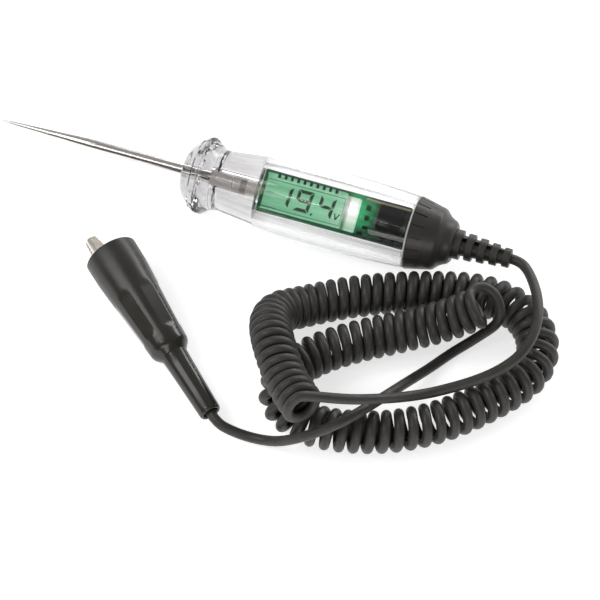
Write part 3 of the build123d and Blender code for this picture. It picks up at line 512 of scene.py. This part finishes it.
# ------------------------------------------------------------------ cord
# The CAD solids' routes, in metres. The first lead stops two points sooner, where the first turn takes
# over, and the second has points of its own where the last turn opens into it.
LEAD_1 = [
    (0.1048, 0.0, 0.0156),
    (0.1082, 0.0, 0.0156),
    (0.1123, -0.0030, 0.0162),
    (0.1162, -0.0092, 0.0184),
    (0.1199, -0.0169, 0.0216),
    (0.1228, -0.0255, 0.0232),
    (0.1237, -0.0350, 0.0230),
    (0.1216, -0.0446, 0.0222),
    (0.1160, -0.0524, 0.0208),
    (0.1086, -0.0584, 0.0188),
    (0.1004, -0.0633, 0.0168),
    (0.0924, -0.0683, 0.0162),
    (0.0848, -0.0742, 0.0190),
    (0.0776, -0.0812, 0.0250),
    (0.0704, -0.0868, 0.0295),
    (0.0633, -0.0909, 0.0330),
]
COIL = [
    (0.0533, -0.0971, 0.0315),
    (0.0482, -0.0921, 0.0298),
    (0.0433, -0.0868, 0.0286),
    (0.0380, -0.0797, 0.0280),
    (0.0333, -0.0722, 0.0265),
    (0.0290, -0.0636, 0.0220),
    (0.0264, -0.0554, 0.0165),
    (0.0277, -0.0487, 0.0125),
    (0.0319, -0.0444, 0.0100),
    (0.0377, -0.0394, 0.0084),
    (0.0502, -0.0316, 0.0084),
    (0.0655, -0.0245, 0.0084),
    (0.0815, -0.0188, 0.0084),
    (0.0960, -0.0148, 0.0084),
    (0.1084, -0.0153, 0.0084),
    (0.1188, -0.0202, 0.0084),
    (0.1249, -0.0292, 0.0084),
    (0.1262, -0.0378, 0.0084),
    (0.1239, -0.0461, 0.0084),
    (0.1172, -0.0555, 0.0084),
    (0.1066, -0.0674, 0.0084),
    (0.0961, -0.0765, 0.0084),
    (0.0822, -0.0846, 0.0084),
    (0.0669, -0.0894, 0.0084),
    (0.0544, -0.0908, 0.0084),
    (0.0451, -0.0887, 0.0084),
    (0.0384, -0.0828, 0.0084),
    (0.0376, -0.0747, 0.0084),
    (0.0410, -0.0668, 0.0084),
    (0.0478, -0.0587, 0.0084),
    (0.0588, -0.0500, 0.0084),
    (0.0713, -0.0426, 0.0092),
    (0.0830, -0.0369, 0.0122),
    (0.0914, -0.0332, 0.0158),
    (0.0962, -0.0307, 0.0182),
    (0.1002, -0.0283, 0.0210),
]
LEAD_2 = [
    (0.0967, -0.0234, 0.0248),
    (0.0986, -0.0216, 0.0243),
    (0.1012, -0.0209, 0.0236),
    (0.1038, -0.0214, 0.0225),
    (0.1062, -0.0230, 0.0209),
    (0.1079, -0.0254, 0.0188),
    (0.1086, -0.0277, 0.0164),
    (0.1075, -0.0298, 0.0135),
    (0.1036, -0.0319, 0.0090),
    (0.0988, -0.0348, 0.0043),
    (0.0933, -0.0402, 0.0020),
    (0.0880, -0.0492, 0.0028),
    (0.0826, -0.0607, 0.0080),
    (0.0779, -0.0726, 0.0145),
    (0.0736, -0.0828, 0.0197),
    (0.0694, -0.0905, 0.0223),
    (0.0643, -0.0963, 0.0225),
    (0.0586, -0.0998, 0.0200),
    (0.0521, -0.1010, 0.0145),
    (0.0448, -0.1006, 0.0075),
    (0.0378, -0.0996, 0.0032),
    (0.0306, -0.0995, 0.0025),
    (0.0246, -0.0997, 0.0041),
    (0.0197, -0.0990, 0.0054),
    (0.0162, -0.0960, 0.0057),
]
CORD_R = 0.002
WIND_R = 0.0064  # from the centre line to the middle of the cord


def nurbs(name, points, radius=0.0, steps=6):
    """A curve of one open NURBS spline through the route's control points."""
    curve = bpy.data.curves.new(name, "CURVE")
    curve.dimensions = "3D"
    spline = curve.splines.new("NURBS")
    spline.points.add(len(points) - 1)
    for spot, point in zip(spline.points, points):
        spot.co = (*point, 1.0)
    spline.order_u = 3
    spline.use_endpoint_u = True
    spline.resolution_u = steps
    curve.bevel_depth = radius
    curve.bevel_resolution = 5
    curve.use_fill_caps = True
    made = bpy.data.objects.new(name, curve)
    scene.collection.objects.link(made)
    return made


def line_of(curve_object):
    """Points along a curve that has no bevel, and how far each is from the start."""
    bpy.context.view_layer.update()
    mesh = bpy.data.meshes.new_from_object(curve_object)
    points = [v.co.copy() for v in mesh.vertices]
    bpy.data.meshes.remove(mesh)
    along = [0.0]
    for a, b in zip(points, points[1:]):
        along.append(along[-1] + (b - a).length)
    return points, along


centre = nurbs("coil_centre", COIL, steps=24)
centre_points, centre_along = line_of(centre)
centre_length = centre_along[-1]
bpy.data.objects.remove(centre)

# a frame carried along the centre line without twisting
tangents = []
for i in range(len(centre_points)):
    before = centre_points[max(0, i - 1)]
    after = centre_points[min(len(centre_points) - 1, i + 1)]
    tangents.append((after - before).normalized())
up = Vector((0, 0, 1))
normals = [(up - tangents[0] * up.dot(tangents[0])).normalized()]
for a, b in zip(tangents, tangents[1:]):
    carried = a.rotation_difference(b) @ normals[-1]
    normals.append((carried - b * carried.dot(b)).normalized())


def centre_at(distance):
    """Position, tangent and normal on the centre line."""
    low, high = 0, len(centre_along) - 1
    while high - low > 1:
        mid = (low + high) // 2
        if centre_along[mid] <= distance:
            low = mid
        else:
            high = mid
    share = (distance - centre_along[low]) / max(1e-9, centre_along[high] - centre_along[low])
    share = min(1.0, max(0.0, share))
    return (
        centre_points[low].lerp(centre_points[high], share),
        tangents[low].lerp(tangents[high], share).normalized(),
        normals[low].lerp(normals[high], share).normalized(),
    )


# pitch of the windings at shares of the centre line
PITCH = [(0.0, 0.0041), (0.10, 0.0041), (0.20, 0.0043), (0.34, 0.0047), (0.46, 0.0051), (0.62, 0.0051),
         (0.72, 0.0050), (0.80, 0.0046), (1.0, 0.00435)]


def pitch_at(share):
    """Pitch at a share of the centre line, between the values above."""
    for (a, pa), (b, pb) in zip(PITCH, PITCH[1:]):
        if share <= b:
            return pa + (pb - pa) * (share - a) / (b - a)
    return PITCH[-1][1]


PER_TURN = 14  # control points in each turn
turns = []
distance = 0.0
angle = 0.0  # from the carried normal, which starts upright
while distance < centre_length:
    here, along_dir, normal = centre_at(distance)
    side = along_dir.cross(normal)
    # left-handed: the angle runs backwards about the direction of travel
    turns.append(here + (normal * cos(angle) - side * sin(angle)) * WIND_R)
    angle += 2 * pi / PER_TURN
    distance += pitch_at(distance / centre_length) / PER_TURN

route = LEAD_1 + [tuple(p) for p in turns] + LEAD_2
cord = nurbs("cord", route, CORD_R, steps=4)
cord.data.materials.append(LOOKS["cord_black"].material)
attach(cord, "tester")
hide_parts("cord_lead_1", "curly_cord", "cord_lead_2")
cord_line = nurbs("cord_line", route, steps=4)
cord_along = line_of(cord_line)[1]
bpy.data.objects.remove(cord_line)

# ------------------------------------------------------------------ surroundings
FLOOR_HALF = 6  # metres from the middle to each edge
FLOOR_Z = -0.0002
corners = [(x * FLOOR_HALF, y * FLOOR_HALF, 0) for x, y in ((-1, -1), (1, -1), (1, 1), (-1, 1))]
floor_mesh = bpy.data.meshes.new("floor")
floor_mesh.from_pydata(corners, [], [(0, 1, 2, 3)])
floor = bpy.data.objects.new("floor", floor_mesh)
scene.collection.objects.link(floor)
floor.location.z = FLOOR_Z
paper = Look("paper", 0.9, Emission_Strength=0.68)
paper.set(paper.shader, "Base Color", paper.ramp(paper.noise(30.0), (0.3, 0.90), (0.7, 0.93)))
paper.set(paper.shader, "Emission Color", (1.0, 1.0, 1.0))
floor.data.materials.append(paper.material)

world = bpy.data.worlds.new("studio")
scene.world = world
world.use_nodes = True
sky = world.node_tree
# the room is dark in front of the tool and pale behind it
direction = sky.nodes.new("ShaderNodeTexCoord").outputs["Generated"]
split = sky.nodes.new("ShaderNodeSeparateXYZ")
fade = sky.nodes.new("ShaderNodeMapRange")
sky.links.new(direction, split.inputs[0])
sky.links.new(split.outputs["Y"], fade.inputs[0])
ROOM = (0.06, 0.42)  # strength in front and behind
for socket, value in zip(fade.inputs[1:5], (-1.0, 1.0, *ROOM)):
    socket.default_value = value
sky.nodes["Background"].inputs[0].default_value = (1, 1, 1, 1)
sky.links.new(fade.outputs[0], sky.nodes["Background"].inputs[1])


def softbox(name, at, size, power, aim=(0.03, -0.04, 0.0), along=(1.0, 0.0, 0.0)):
    """A rectangular light facing aim, its first side laid along a direction; power in watts."""
    light = bpy.data.lights.new(name, "AREA")
    light.shape = "RECTANGLE"
    light.size, light.size_y = size
    light.energy = power
    made = bpy.data.objects.new(name, light)
    scene.collection.objects.link(made)
    back = (Vector(at) - Vector(aim)).normalized()
    side = (Vector(along) - back * back.dot(Vector(along))).normalized()
    made.rotation_euler = Matrix((side, back.cross(side), back)).transposed().to_euler()
    made.location = at


KEY_SIDE = (-0.434, -0.445, -0.456)  # direction of the long side of the boot's key light
softbox("boot_key", (-0.76, -0.257, 0.934), (0.9, 0.28), 3.6, aim=(-0.02, -0.065, 0.01), along=KEY_SIDE)
softbox("sky_panel", (-0.42, -0.56, 0.95), (0.5, 0.4), 1.1, aim=(-0.06, 0.0, 0.01))
softbox("strip", (-0.37, -0.488, 0.887), (0.50, 0.010), 0.45, aim=(0.02, 0.0, 0.03))
softbox("side", (0.5, -1.1, 0.5), (1.2, 0.35), 4.0)
softbox("rim", (0.35, 1.0, 0.45), (1.4, 0.3), 7.0)
